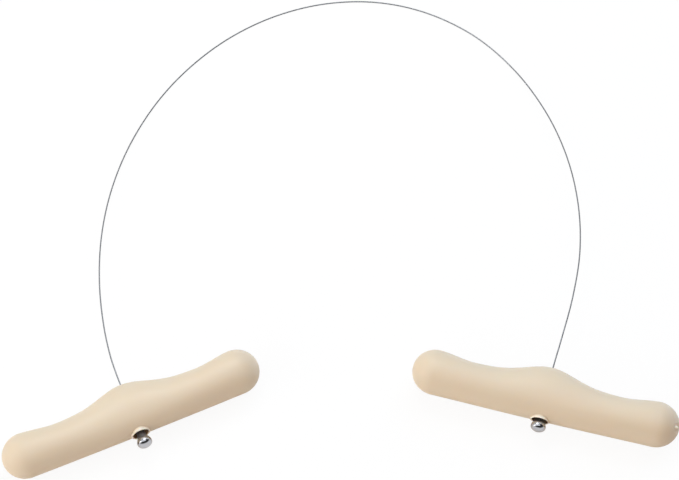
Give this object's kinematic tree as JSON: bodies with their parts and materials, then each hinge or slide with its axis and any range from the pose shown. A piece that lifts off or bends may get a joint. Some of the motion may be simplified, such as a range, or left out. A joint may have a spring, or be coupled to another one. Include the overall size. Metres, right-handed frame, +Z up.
{
  "type": "cheese wire",
  "caption": "Wire cheese cutter: moulded T-handles joined by a thin steel cutting wire that lies in a loop, with bell-shaped stops that seat in the backs of the handles.",
  "frame": {"origin": "on the surface that the handles lie on, under the middle of the handles and stops", "axes": "+X from the left handle to the right one, +Y towards the far side of the wire loop, +Z up"},
  "size_m": [0.2834, 0.2486, 0.0193],
  "materials": {
    "moulded_plastic": "satin beige moulded plastic",
    "wire_steel": "drawn stainless steel wire",
    "stop_plating": "bright nickel plating"
  },
  "bodies": {
    "wire": {"cutting_wire": "wire_steel"},
    "left_stop": {"left_stop": "stop_plating"},
    "left_handle": {"left_handle": "moulded_plastic"},
    "right_stop": {"right_stop": "stop_plating"},
    "right_handle": {"right_handle": "moulded_plastic"}
  },
  "joints": [
    {"name": "left_turn", "type": "hinge", "parent": "wire", "child": "left_stop", "pos_m": [-0.08811, -0.00068, 0.00959], "axis": [-0.4059, 0.9139, 0], "continuous": true},
    {"name": "left_slide", "type": "slide", "parent": "left_stop", "child": "left_handle", "axis": [0.4059, -0.9139, 0], "range_m": [-0.0015, 0.00675]},
    {"name": "right_turn", "type": "hinge", "parent": "wire", "child": "right_stop", "pos_m": [0.08559, 0.00639, 0.00956], "axis": [0.254, 0.9615, 0.1045], "continuous": true},
    {"name": "right_slide", "type": "slide", "parent": "right_stop", "child": "right_handle", "axis": [-0.254, -0.9615, -0.1045], "range_m": [-0.0015, 0.00525]}
  ]
}
